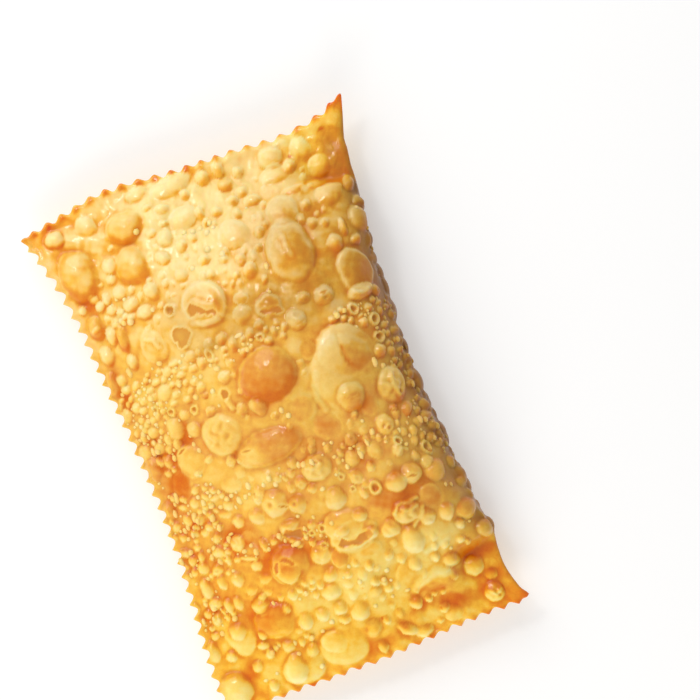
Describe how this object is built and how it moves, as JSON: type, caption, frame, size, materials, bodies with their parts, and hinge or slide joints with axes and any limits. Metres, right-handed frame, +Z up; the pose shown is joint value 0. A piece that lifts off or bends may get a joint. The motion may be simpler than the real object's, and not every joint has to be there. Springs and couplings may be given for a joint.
{
  "type": "fried pastry pocket",
  "caption": "Rectangular fried pastry pocket, a savoury snack eaten by hand: folded dough with toothed sealed edges, puffed and blistered, lying flat.",
  "frame": {"origin": "under the middle of the pastry, on the surface that it lies on", "axes": "+X from the toothed seam to the fold, +Y along the length towards the upturned corner, +Z up"},
  "size_m": [0.1102, 0.1686, 0.0335],
  "materials": {
    "fried_crust": "blistered golden fried dough, satin with a thin film of oil"
  },
  "bodies": {
    "root": {"pastry_pocket": "fried_crust"}
  },
  "joints": []
}
